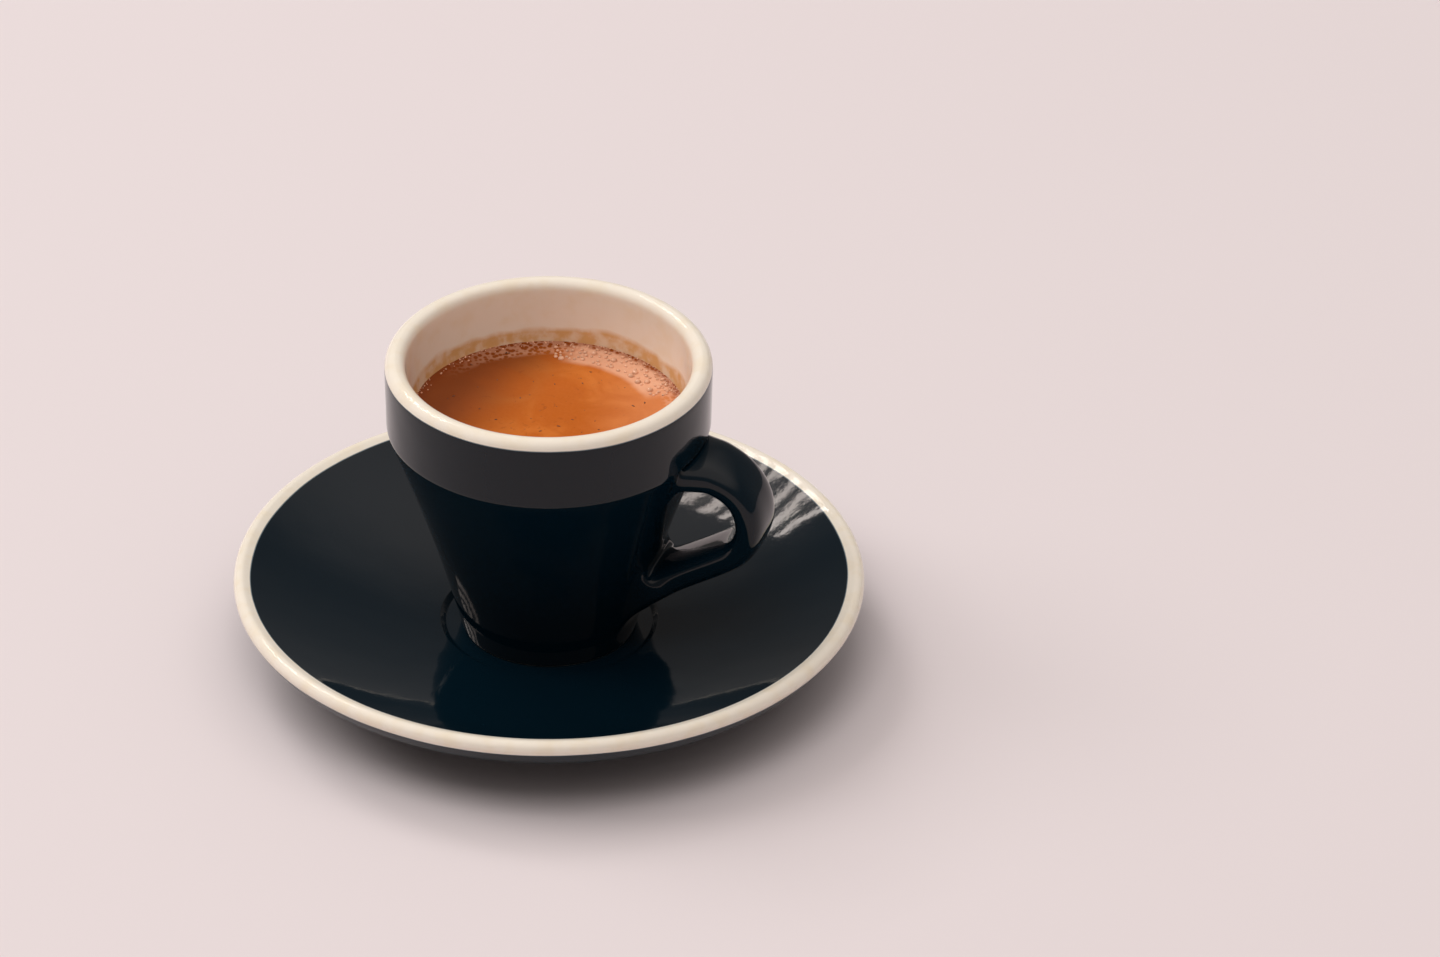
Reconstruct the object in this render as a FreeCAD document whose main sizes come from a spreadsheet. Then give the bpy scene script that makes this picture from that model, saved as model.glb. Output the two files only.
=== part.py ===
"""An espresso in its cup on its saucer: three pieces that rest in one another.

The saucer stands on its foot ring at z = 0, centred on the Z axis. The cup stands in the
saucer's well, with its handle along +X, and the espresso fills the cup up to its level.
Each piece is turned about Z, and the handle is an oval strap swept in the plane y = 0.
"""
import FreeCAD, Part
import math
import os
import re
import Sketcher

# Every driving size, in millimetres or degrees, written once and kept in the spreadsheet.
SIZES = {
    # saucer, heights from the table
    "saucer_radius": 58.0,         # outermost point of the rounded edge
    "edge_height": 15.6,           # middle of the rounded edge
    "edge_round": 1.5,
    "edge_slope": 26.0,            # slope of the dish where it meets the edge
    "edge_undercut": 24.0,         # where the rounded edge turns into the underside
    "dish_curve": 121.0,           # radius of the dish's hollow section
    "under_curve": 12.0,           # radius of the underside next to the edge
    "under_knee_inset": 6.4,       # from the outermost point in to the end of that curve
    "under_knee_height": 9.3,
    "well_radius": 19.0,           # flat well that the cup stands in
    "well_height": 6.3,
    "well_step": 0.9,
    "well_bevel": 1.1,             # width of the well's sloping side
    "ring_radius": 33.0,           # outside of the foot ring on the table
    "ring_width": 3.4,
    "ring_height": 4.6,
    "ring_flare": 1.3,
    "ring_hollow": 2.2,            # how far the middle of the underside clears the table
    "ring_fillet": 0.6,
    # cup, heights from the plane it stands on
    "cup_radius": 29.95,
    "cup_height": 56.8,
    "cup_wall": 3.8,               # thickness at the lip
    "lip_round": 1.85,
    "band_drop": 13.9,             # straight upper band, from the rim down
    "band_low_radius": 29.6,       # outside radius at the band's lower edge
    "band_round": 6.0,
    "side_curve": 330.0,           # radius of the slightly hollow side below the band
    "foot_radius": 16.0,
    "foot_round": 0.7,
    "foot_width": 3.0,
    "foot_hollow": 1.3,
    "bowl_radius": 24.9,           # inside radius level with the band's lower edge
    "bowl_low_radius": 13.4,       # inside radius at the floor, before its corner is rounded
    "bowl_floor": 6.0,
    "bowl_round": 9.0,
    # handle, heights from the plane the cup stands on
    "handle_width": 12.0,
    "handle_thickness": 5.6,
    "handle_top": 40.1,            # centre line of the upper arm
    "handle_reach": 40.3,          # outermost point of the centre line, from the cup's axis
    "handle_crown": 9.6,           # bend radius from the upper arm down into the bow
    "handle_drop": 0.2,            # straight run between the two bends
    "handle_bow": 9.5,             # bend radius from the bow into the lower arm
    "handle_slope": 29.0,          # slope of the lower arm
    "handle_fillet": 2.0,          # where both arms flow into the cup's side
    # drink
    "espresso_drop": 12.1,         # from the rim down to the drink's level
}

# The parts of a sketch, as Sketcher numbers them.
ORIGIN, X_AXIS, Y_AXIS = -1, -1, -2
START, END, CENTRE = 1, 2, 3
BULGES_RIGHT, BULGES_LEFT = 1, -1

CLOSE = 1e-4       # two sizes that agree to this are the same

# Inside of the bowl in section, from the middle of its floor up to the band's lower edge.
BOWL_WALL = [
    ("0", "bowl_floor"),
    ("bowl_low_radius", "bowl_floor"),
    ("bowl_radius", "cup_height - band_drop"),
]


def fill_spreadsheet(doc):
    """Writes each driving size to a cell of its own, under its name."""
    sheet = doc.addObject("Spreadsheet::Sheet", "Sizes")
    for row, (name, value) in enumerate(SIZES.items(), start=1):
        sheet.set(f"A{row}", name)
        sheet.set(f"B{row}", str(value))
        sheet.setAlias(f"B{row}", name)
    doc.recompute()


def formula(text):
    """Makes each size's name in the text read the spreadsheet."""
    return re.sub(r"[a-z_]+", lambda word: f"Sizes.{word[0]}" if word[0] in SIZES else word[0], text)


def value_of(owner, text):
    return float(owner.evalExpression(formula(text)))


def new_sketch(body, name, role="XZ_Plane"):
    sketch = body.newObject("Sketcher::SketchObject", name)
    plane = next(feature for feature in body.Origin.OriginFeatures if feature.Role == role)
    sketch.AttachmentSupport = [(plane, "")]
    sketch.MapMode = "FlatFace"
    sketch.Visibility = False
    return sketch


def constrain(sketch, kind, where, text):
    """Adds a dimension whose value follows the formula."""
    index = sketch.addConstraint(Sketcher.Constraint(kind, *where, value_of(sketch, text)))
    sketch.setExpression(f"Constraints[{index}]", formula(text))


def pin(sketch, edge, point, place):
    """Fixes an edge's end at (across, up); the formula "0" keeps it on an axis."""
    rules = (("DistanceX", place[0], Y_AXIS), ("DistanceY", place[1], X_AXIS))
    for kind, text, axis in rules:
        if text == "0":
            sketch.addConstraint(Sketcher.Constraint("PointOnObject", edge, point, axis))
        else:
            constrain(sketch, kind, (ORIGIN, START, edge, point), text)


def arc_between(start, end, radius, bulge):
    """The short arc that joins two points, drawn anticlockwise."""
    chord = end - start
    right = FreeCAD.Vector(chord.y, -chord.x, 0).normalize()
    depth = math.sqrt(radius ** 2 - chord.Length ** 2 / 4)
    centre = (start + end) * 0.5 - right * depth * bulge
    first, last = (start, end) if bulge == BULGES_RIGHT else (end, start)
    angles = [math.atan2(point.y - centre.y, point.x - centre.x) for point in (first, last)]
    if angles[1] < angles[0]:
        angles[1] += 2 * math.pi
    circle = Part.Circle(centre, FreeCAD.Vector(0, 0, 1), radius)
    return Part.ArcOfCircle(circle, *angles)


def draw_outline(sketch, corners, arcs=None, closed=True):
    """Joins the corners by lines, and by arcs where one is named.

    Each corner is a pair of formulas, across and up. arcs maps the number of an edge's first
    corner to the formula of its radius and the side it bulges to on the way along.
    """
    arcs = arcs or {}
    points = [FreeCAD.Vector(value_of(sketch, across), value_of(sketch, up), 0) for across, up in corners]
    edges = len(points) if closed else len(points) - 1
    ends = []
    for edge in range(edges):
        start, end = points[edge], points[(edge + 1) % len(points)]
        radius, bulge = arcs.get(edge, (None, BULGES_RIGHT))
        if radius:
            sketch.addGeometry(arc_between(start, end, value_of(sketch, radius), bulge), False)
        else:
            sketch.addGeometry(Part.LineSegment(start, end), False)
        ends.append((START, END) if bulge == BULGES_RIGHT else (END, START))
    for edge in range(edges if closed else edges - 1):
        after = (edge + 1) % edges
        joint = Sketcher.Constraint("Coincident", edge, ends[edge][1], after, ends[after][0])
        sketch.addConstraint(joint)
    for edge in range(edges):
        pin(sketch, edge, ends[edge][0], corners[edge])
    if not closed:
        pin(sketch, edges - 1, ends[-1][1], corners[-1])
    for edge, (radius, _) in arcs.items():
        constrain(sketch, "Radius", (edge,), radius)


def turn(body, sketch, name, kind="PartDesign::Revolution"):
    feature = body.newObject(kind, name)
    feature.Profile = sketch
    feature.ReferenceAxis = (sketch, ["V_Axis"])
    feature.Angle = 360
    return feature


def circles_at(feature, places):
    """Names of the feature's circles about Z that have the radii and heights given."""
    names = []
    for place in places:
        radius, height = (value_of(feature, text) for text in place)
        for number, edge in enumerate(feature.Shape.Edges, start=1):
            if not isinstance(edge.Curve, Part.Circle):
                continue
            if abs(edge.Curve.Radius - radius) < CLOSE and abs(edge.Curve.Center.z - height) < CLOSE:
                names.append(f"Edge{number}")
    if len(names) < len(places):
        raise RuntimeError(f"{feature.Name} lacks an edge to round: {places}")
    return names


def round_edges(body, base, name, edges, radius):
    feature = body.newObject("PartDesign::Fillet", name)
    feature.Base = (base, edges)
    feature.setExpression("Radius", formula(radius))
    body.Document.recompute()
    return feature


def make_saucer(doc):
    """A hollowed dish with a flat well for the cup, a rounded edge and a foot ring."""
    body = doc.addObject("PartDesign::Body", "saucer")
    section = new_sketch(body, "SaucerSection")
    edge_radius = "(saucer_radius - edge_round)"
    under_angle = "(edge_undercut * 1 deg)"
    slope_angle = "(edge_slope * 1 deg)"
    corners = [
        ("0", "ring_hollow"),
        ("ring_radius - ring_width - ring_hollow", "ring_hollow"),
        ("ring_radius - ring_width", "0"),
        ("ring_radius", "0"),
        ("ring_radius + ring_flare", "ring_height"),
        ("saucer_radius - under_knee_inset", "under_knee_height"),
        (f"{edge_radius} + edge_round * cos{under_angle}", f"edge_height - edge_round * sin{under_angle}"),
        (f"{edge_radius} - edge_round * sin{slope_angle}", f"edge_height + edge_round * cos{slope_angle}"),
        ("well_radius + well_bevel", "well_height + well_step"),
        ("well_radius", "well_height"),
        ("0", "well_height"),
    ]
    arcs = {
        5: ("under_curve", BULGES_RIGHT),
        6: ("edge_round", BULGES_RIGHT),
        7: ("dish_curve", BULGES_LEFT),
    }
    draw_outline(section, corners, arcs)
    turned = turn(body, section, "SaucerTurned")
    doc.recompute()
    ring = circles_at(turned, [("ring_radius - ring_width", "0"), ("ring_radius", "0")])
    round_edges(body, turned, "RingRounding", ring, "ring_fillet")
    return body


def sweep_handle(body):
    """Sweeps an oval strap along the upper arm, the crown, the bow and the lower arm."""
    path = new_sketch(body, "HandlePath")
    root = "(cup_radius - cup_wall)"
    angle = "(handle_slope * 1 deg)"
    bow_top = "(handle_top - handle_crown - handle_drop)"
    bow_end = f"(handle_reach - handle_bow + handle_bow * sin{angle})"
    bow_low = f"({bow_top} - handle_bow * cos{angle})"
    arm_end = "(foot_radius - foot_width)"
    corners = [
        (root, "handle_top"),
        ("handle_reach - handle_crown", "handle_top"),
        ("handle_reach", "handle_top - handle_crown"),
        ("handle_reach", bow_top),
        (bow_end, bow_low),
        (arm_end, f"{bow_low} - ({bow_end} - {arm_end}) * tan{angle}"),
    ]
    arcs = {1: ("handle_crown", BULGES_LEFT), 3: ("handle_bow", BULGES_LEFT)}
    draw_outline(path, corners, arcs, closed=False)

    oval = new_sketch(body, "HandleSection", "YZ_Plane")
    oval.setExpression("AttachmentOffset.Base.y", formula("handle_top"))
    oval.setExpression("AttachmentOffset.Base.z", formula(root))
    half_width, half_thickness = SIZES["handle_width"] / 2, SIZES["handle_thickness"] / 2
    oval.addGeometry(Part.Ellipse(FreeCAD.Vector(0, 0, 0), half_width, half_thickness), False)
    oval.exposeInternalGeometry(0)
    long_axis, short_axis = 1, 2
    oval.addConstraint(Sketcher.Constraint("Coincident", 0, CENTRE, ORIGIN, START))
    oval.addConstraint(Sketcher.Constraint("Horizontal", long_axis))
    constrain(oval, "Distance", (long_axis,), "handle_width")
    constrain(oval, "Distance", (short_axis,), "handle_thickness")

    pipe = body.newObject("PartDesign::AdditivePipe", "Handle")
    pipe.Profile = oval
    pipe.Spine = (path, [f"Edge{number}" for number in range(1, len(corners))])
    body.Document.recompute()
    return pipe


def root_edges(side, handle):
    """Names of the edges where the handle meets the cup's side."""
    names = []
    for number, edge in enumerate(handle.Shape.Edges, start=1):
        first, last = edge.ParameterRange
        points = [edge.valueAt(first + (last - first) * share) for share in (0.1, 0.3, 0.5, 0.7, 0.9)]
        on_side = all(side.Shape.distToShape(Part.Vertex(point))[0] < 10 * CLOSE for point in points)
        is_level = max(point.z for point in points) - min(point.z for point in points) < CLOSE
        is_seam = max(abs(point.y) for point in points) < CLOSE
        if on_side and not is_level and not is_seam:
            names.append(f"Edge{number}")
    return names


def make_cup(doc):
    """A straight band over a side that tapers to the foot, with a strap handle and a round bowl."""
    body = doc.addObject("PartDesign::Body", "cup")
    body.setExpression("Placement.Base.z", formula("well_height"))
    section = new_sketch(body, "CupSection")
    corners = [
        ("0", "foot_hollow"),
        ("foot_radius - foot_width - foot_hollow", "foot_hollow"),
        ("foot_radius - foot_width", "0"),
        ("foot_radius", "0"),
        ("band_low_radius", "cup_height - band_drop"),
        ("cup_radius", "cup_height"),
        ("0", "cup_height"),
    ]
    draw_outline(section, corners, {3: ("side_curve", BULGES_LEFT)})
    turned = turn(body, section, "CupTurned")
    doc.recompute()
    waist = circles_at(turned, [("band_low_radius", "cup_height - band_drop")])
    side = round_edges(body, turned, "BandRounding", waist, "band_round")
    handle = sweep_handle(body)
    joined = round_edges(body, handle, "HandleRoots", root_edges(side, handle), "handle_fillet")

    inner_lip = ("cup_radius - cup_wall", "cup_height")
    hollow = new_sketch(body, "BowlSection")
    draw_outline(hollow, BOWL_WALL + [inner_lip, ("0", "cup_height")])
    bowl = turn(body, hollow, "Bowl", kind="PartDesign::Groove")
    doc.recompute()
    if bowl.Shape.Volume >= joined.Shape.Volume:
        raise RuntimeError("the bowl was not hollowed out")
    floor = circles_at(bowl, [("bowl_low_radius", "bowl_floor")])
    bowl = round_edges(body, bowl, "BowlRounding", floor, "bowl_round")
    lip = circles_at(bowl, [("cup_radius", "cup_height"), inner_lip])
    lipped = round_edges(body, bowl, "LipRounding", lip, "lip_round")
    foot = circles_at(lipped, [("foot_radius - foot_width", "0"), ("foot_radius", "0")])
    round_edges(body, lipped, "FootRounding", foot, "foot_round")
    return body


def make_espresso(doc):
    """The drink, against the bowl's wall from its floor up to the drink's level."""
    body = doc.addObject("PartDesign::Body", "espresso")
    body.setExpression("Placement.Base.z", formula("well_height"))
    section = new_sketch(body, "EspressoSection")
    level = "(cup_height - espresso_drop)"
    above_band = f"({level} - cup_height + band_drop)"
    wall_slope = "(cup_radius - cup_wall - bowl_radius) / band_drop"
    at_level = f"bowl_radius + {above_band} * {wall_slope}"
    draw_outline(section, BOWL_WALL + [(at_level, level), ("0", level)])
    turned = turn(body, section, "EspressoTurned")
    doc.recompute()
    floor = circles_at(turned, [("bowl_low_radius", "bowl_floor")])
    round_edges(body, turned, "EspressoRounding", floor, "bowl_round")
    return body


def check(doc, pieces):
    """Stops if an object failed or a piece's shape is missing or broken."""
    for item in doc.Objects:
        if {"Invalid", "Error"} & set(item.State):
            raise RuntimeError(f"{item.Name}: {item.getStatusString()}")
    for piece in pieces:
        if piece.Shape.isNull() or not piece.Shape.isValid():
            raise RuntimeError(f"{piece.Label} has no valid shape")
        if len(piece.Shape.Solids) != 1:
            raise RuntimeError(f"{piece.Label} has {len(piece.Shape.Solids)} solids")


def main():
    doc = FreeCAD.newDocument("Espresso")
    fill_spreadsheet(doc)
    pieces = [make_saucer(doc), make_cup(doc), make_espresso(doc)]
    doc.recompute()
    check(doc, pieces)
    os.makedirs("parts", exist_ok=True)
    for piece in pieces:
        piece.Shape.exportStep(f"parts/{piece.Label}.step")
        print(f"{piece.Label}: {piece.Shape.Volume / 1000:.2f} cm3")


main()
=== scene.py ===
"""An espresso in a glazed cup on its saucer, with a plain studio around it.

The cup and the saucer are dipped in dark glaze below a cream rim. The drink carries crema,
bubbles and fine specks. Each piece is made by an operator of its own, listed in the sidebar.
"""

import math
import random

import bmesh
import bpy
from bpy.props import FloatProperty, FloatVectorProperty, IntProperty, PointerProperty
from mathutils import Matrix, Vector


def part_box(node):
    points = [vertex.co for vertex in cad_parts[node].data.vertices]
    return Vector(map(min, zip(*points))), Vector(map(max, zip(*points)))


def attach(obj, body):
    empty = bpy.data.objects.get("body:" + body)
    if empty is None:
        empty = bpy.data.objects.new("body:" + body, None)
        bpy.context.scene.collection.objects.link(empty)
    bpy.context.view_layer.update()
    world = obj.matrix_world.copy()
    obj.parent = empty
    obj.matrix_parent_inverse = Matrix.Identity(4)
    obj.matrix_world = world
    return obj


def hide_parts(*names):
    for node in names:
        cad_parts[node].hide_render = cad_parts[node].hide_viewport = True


bl_info = {
    "name": "Espresso in cup and saucer",
    "version": (1, 0, 0),
    "blender": (4, 5, 0),
    "location": "3D View > Sidebar > Espresso",
    "description": "Builds a glazed espresso cup, its saucer, the drink and a studio",
    "category": "Add Mesh",
}

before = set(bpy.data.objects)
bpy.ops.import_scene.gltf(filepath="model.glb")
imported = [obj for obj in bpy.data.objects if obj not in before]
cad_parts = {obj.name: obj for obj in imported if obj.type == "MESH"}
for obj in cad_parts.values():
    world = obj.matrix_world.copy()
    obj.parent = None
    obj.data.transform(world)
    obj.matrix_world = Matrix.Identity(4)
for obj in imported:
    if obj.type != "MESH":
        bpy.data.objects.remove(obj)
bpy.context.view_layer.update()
SAUCER_LOW, SAUCER_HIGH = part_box("saucer")
CUP_LOW, CUP_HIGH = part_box("cup")
DRINK_LOW, DRINK_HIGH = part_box("espresso")

MM = 0.001
TURN = 2 * math.pi
BODY = "root"
SAME_PLACE = 1e-6
CUP_STEPS = 64           # faces round the cup, so that the handle's roots meet whole faces
UPPER_ROOT_FACES = 6     # faces across the cup's side that each arm of the handle opens
LOWER_ROOT_FACES = 8
HANDLE_STEPS = 20        # points round the handle, as many as round either root
HOLDING_ROWS = (0.9 * MM, 2.4 * MM)    # rows over the upper root that keep its corner tight
BAND_ROWS = (8 * MM, 5 * MM, 3 * MM)   # rows of the band, measured down from the rim
FLARE_IN_THICKNESS = 0.3               # share of a station's flare that its thickness takes
DRINK_STEPS = 96         # faces round the drink
MOST_TRIES = 4000        # spots tried while the bubbles look for room

CREAM_MOTTLE = (0.975, 0.945, 0.885)   # how much darker each channel is where the cream mottles
GLAZE_IOR = 1.37
GLAZE_REFLECTION = (1.0, 0.86, 0.78, 1.0)
CREMA_IOR = 1.33
LAMP_COLOUR = (1.0, 0.985, 0.97)


# ---------------------------------------------------------------- sizes and colours

class SaucerSizes(bpy.types.PropertyGroup):
    """Sizes of the saucer's section."""

    radius: FloatProperty(name="Radius", description="Outermost point of the rounded edge",
                          default=SAUCER_HIGH.x, unit="LENGTH", precision=5)
    edge_height: FloatProperty(name="Edge height", description="Middle of the rounded edge",
                               default=SAUCER_HIGH.z - 1.5 * MM, unit="LENGTH", precision=5)
    edge_round: FloatProperty(name="Edge rounding", description="Radius of the rounded edge",
                              default=1.5 * MM, unit="LENGTH", precision=5)
    edge_slope: FloatProperty(name="Edge slope", description="Slope of the dish at the edge",
                              default=math.radians(26), subtype="ANGLE")
    dish_curve: FloatProperty(name="Dish curve", description="Radius of the dish's hollow",
                              default=121 * MM, unit="LENGTH")
    undercut: FloatProperty(name="Undercut", description="How far the rounding goes below the edge",
                            default=math.radians(24), subtype="ANGLE")
    under_curve: FloatProperty(name="Under curve", description="Radius of the edge's underside",
                               default=12 * MM, unit="LENGTH", precision=5)
    knee_inset: FloatProperty(name="Knee inset", description="From the edge in to its underside's start",
                              default=6.4 * MM, unit="LENGTH", precision=5)
    knee_height: FloatProperty(name="Knee height", description="Height of the underside's start",
                               default=9.3 * MM, unit="LENGTH", precision=5)
    well_radius: FloatProperty(name="Well radius", description="Flat well that the cup stands in",
                               default=19 * MM, unit="LENGTH", precision=5)
    well_height: FloatProperty(name="Well height", description="Height of the well's floor",
                               default=CUP_LOW.z, unit="LENGTH", precision=5)
    well_step: FloatProperty(name="Well step", description="Rise from the well to the dish",
                             default=0.9 * MM, unit="LENGTH", precision=5)
    well_lean: FloatProperty(name="Well lean", description="How far that rise leans out",
                             default=1.1 * MM, unit="LENGTH", precision=5)
    ring_radius: FloatProperty(name="Foot ring radius", description="Outside of the foot ring",
                               default=33 * MM, unit="LENGTH", precision=5)
    ring_width: FloatProperty(name="Foot ring width", description="Width on the table",
                              default=3.4 * MM, unit="LENGTH", precision=5)
    ring_hollow: FloatProperty(name="Foot ring hollow", description="Clearance inside the ring",
                               default=2.2 * MM, unit="LENGTH", precision=5)
    steps: IntProperty(name="Steps", description="Faces round the saucer", default=80)


class CupSizes(bpy.types.PropertyGroup):
    """Sizes of the cup's section and of its handle."""

    radius: FloatProperty(name="Radius", description="Outside radius at the rim",
                          default=CUP_HIGH.y, unit="LENGTH", precision=5)
    wall: FloatProperty(name="Wall", description="Thickness at the lip",
                        default=3.8 * MM, unit="LENGTH", precision=5)
    lip_round: FloatProperty(name="Lip rounding", description="Radius of the lip's two edges",
                             default=1.87 * MM, unit="LENGTH", precision=5)
    band_drop: FloatProperty(name="Band", description="Height of the straight upper band",
                             default=13.9 * MM, unit="LENGTH", precision=5)
    band_low_radius: FloatProperty(name="Band radius", description="Radius at the band's lower edge",
                                   default=29.6 * MM, unit="LENGTH", precision=5)
    side_curve: FloatProperty(name="Side curve", description="Radius of the hollow side",
                              default=330 * MM, unit="LENGTH")
    foot_radius: FloatProperty(name="Foot radius", description="Outside radius of the foot",
                               default=16 * MM, unit="LENGTH", precision=5)
    foot_width: FloatProperty(name="Foot width", description="Width of the foot's ring",
                              default=3 * MM, unit="LENGTH", precision=5)
    foot_hollow: FloatProperty(name="Foot hollow", description="Recess inside the foot's ring",
                               default=1.3 * MM, unit="LENGTH", precision=5)
    bowl_low_radius: FloatProperty(name="Bowl floor radius", description="Before its corner is rounded",
                                   default=13.4 * MM, unit="LENGTH", precision=5)
    bowl_radius: FloatProperty(name="Bowl radius", description="Inside radius at the band's lower edge",
                               default=24.9 * MM, unit="LENGTH", precision=5)
    bowl_round: FloatProperty(name="Bowl rounding", description="Radius of the bowl's lower corner",
                              default=9 * MM, unit="LENGTH", precision=5)
    handle_width: FloatProperty(name="Handle width", description="Across the strap",
                                default=11.8 * MM, unit="LENGTH", precision=5)
    handle_thickness: FloatProperty(name="Handle thickness", description="Through the strap",
                                    default=5.6 * MM, unit="LENGTH", precision=5)
    handle_squareness: FloatProperty(name="Handle squareness", default=3.6,
                                     description="2 is an oval strap, more is flatter")
    handle_inset: FloatProperty(name="Handle inset", description="How far inside its limit the bow runs",
                                default=0.5 * MM, unit="LENGTH", precision=5)
    handle_top: FloatProperty(name="Handle top", description="Height of the upper arm's middle",
                              default=46.4 * MM, unit="LENGTH", precision=5)
    handle_crown: FloatProperty(name="Handle crown", description="Bend from the upper arm down",
                                default=9.3 * MM, unit="LENGTH", precision=5)
    handle_bow: FloatProperty(name="Handle bow", description="Bend into the lower arm",
                              default=9.0 * MM, unit="LENGTH", precision=5)
    lower_root: FloatProperty(name="Lower root", description="Height where the lower arm ends",
                              default=19.5 * MM, unit="LENGTH", precision=5)
    root_spread: FloatProperty(name="Root spread", description="How far the roots flow onto the side",
                               default=2 * MM, unit="LENGTH", precision=5)


class DrinkSizes(bpy.types.PropertyGroup):
    """Sizes of the drink and of what floats on it."""

    level: FloatProperty(name="Level", description="Height of the drink",
                         default=DRINK_HIGH.z, unit="LENGTH", precision=5)
    floor: FloatProperty(name="Floor", description="Lowest point of the drink",
                         default=DRINK_LOW.z, unit="LENGTH", precision=5)
    into_wall: FloatProperty(name="Into the wall", description="How far the drink reaches into the cup",
                             default=0.25 * MM, unit="LENGTH", precision=5)
    meniscus_rise: FloatProperty(name="Meniscus rise", description="How far the drink climbs the wall",
                                 default=0.6 * MM, unit="LENGTH", precision=5)
    meniscus_width: FloatProperty(name="Meniscus width", description="Width of the climbing edge",
                                  default=6.5 * MM, unit="LENGTH", precision=5)
    bubbles: IntProperty(name="Bubbles", description="Bubbles in the crescent of foam", default=78)
    froth: IntProperty(name="Froth", description="Fine bubbles against the wall", default=150)
    specks: IntProperty(name="Specks", description="Dark grains on the crema", default=70)
    seed: IntProperty(name="Seed", description="Seed of all random places", default=7)


class GlazeColours(bpy.types.PropertyGroup):
    """Colours and dip lines of the glaze."""

    navy: FloatVectorProperty(name="Navy", description="Dark glaze", subtype="COLOR",
                              default=(0.0015, 0.0092, 0.0162), min=0, max=1)
    blend: FloatVectorProperty(name="Blend", description="Where the dark glaze thins over the cream",
                               subtype="COLOR", default=(0.10, 0.155, 0.19), min=0, max=1)
    cream: FloatVectorProperty(name="Cream", description="Rim glaze", subtype="COLOR",
                               default=(0.955, 0.865, 0.745), min=0, max=1)
    clay: FloatVectorProperty(name="Clay", description="Bare body under the feet", subtype="COLOR",
                              default=(0.62, 0.53, 0.42), min=0, max=1)
    film: FloatVectorProperty(name="Film", description="Coffee left on the cup's wall",
                              subtype="COLOR", default=(0.74, 0.42, 0.17), min=0, max=1)
    cup_line: FloatProperty(name="Cup line", description="Height of the cup's dip line",
                            default=CUP_HIGH.z - 1.7 * MM, unit="LENGTH", precision=5)
    band_radius: FloatProperty(name="Band line", description="Radius where the saucer's cream starts",
                               default=54.85 * MM, unit="LENGTH", precision=5)
    edge_line: FloatProperty(name="Edge line", description="Height of the line outside the edge",
                             default=14.8 * MM, unit="LENGTH", precision=5)
    film_height: FloatProperty(name="Film height", description="Coffee film above the drink",
                               default=2.8 * MM, unit="LENGTH", precision=5)
    softness: FloatProperty(name="Line softness", description="Width over which the glazes blend",
                            default=0.35 * MM, unit="LENGTH", precision=5)
    waver: FloatProperty(name="Line waver", description="How far a dip line wanders",
                         default=0.35 * MM, unit="LENGTH", precision=5)


class CremaColours(bpy.types.PropertyGroup):
    """Colours of the drink."""

    main: FloatVectorProperty(name="Crema", description="Most of the surface", subtype="COLOR",
                              default=(0.50, 0.112, 0.008), min=0, max=1)
    light: FloatVectorProperty(name="Light crema", description="Paler streaks", subtype="COLOR",
                               default=(0.60, 0.165, 0.022), min=0, max=1)
    dark: FloatVectorProperty(name="Dark crema", description="Edge and dark streaks",
                              subtype="COLOR", default=(0.22, 0.038, 0.003), min=0, max=1)
    foam: FloatVectorProperty(name="Foam", description="Crescent of fine foam", subtype="COLOR",
                              default=(0.84, 0.47, 0.31), min=0, max=1)
    grain: FloatVectorProperty(name="Grains", description="Dark specks", subtype="COLOR",
                               default=(0.09, 0.022, 0.006), min=0, max=1)
    # Painted shade: the crema darkens on the side where the cup's wall shades it from the key light.
    painted_shade: FloatVectorProperty(name="Shaded side", description="Painted shade cast by the cup's wall",
                                subtype="COLOR", default=(0.19, 0.036, 0.003), min=0, max=1)
    painted_shade_azimuth: FloatProperty(name="Shaded direction", description="Middle of the darker side",
                                  default=math.radians(172), subtype="ANGLE")
    # Painted reflection: the crema is lighter and pinker on the side that mirrors the cup's lit wall.
    painted_reflection: FloatVectorProperty(name="Pale side", description="Painted reflection of the lit wall",
                              subtype="COLOR", default=(0.70, 0.25, 0.090), min=0, max=1)
    painted_reflection_azimuth: FloatProperty(name="Pale direction", description="Middle of the lighter side",
                                default=math.radians(10), subtype="ANGLE")
    foam_azimuth: FloatProperty(name="Foam direction", description="Middle of the crescent",
                                default=math.radians(70), subtype="ANGLE")
    foam_reach: FloatProperty(name="Foam reach", description="Half of the crescent's angle",
                              default=math.radians(36), subtype="ANGLE")


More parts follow.
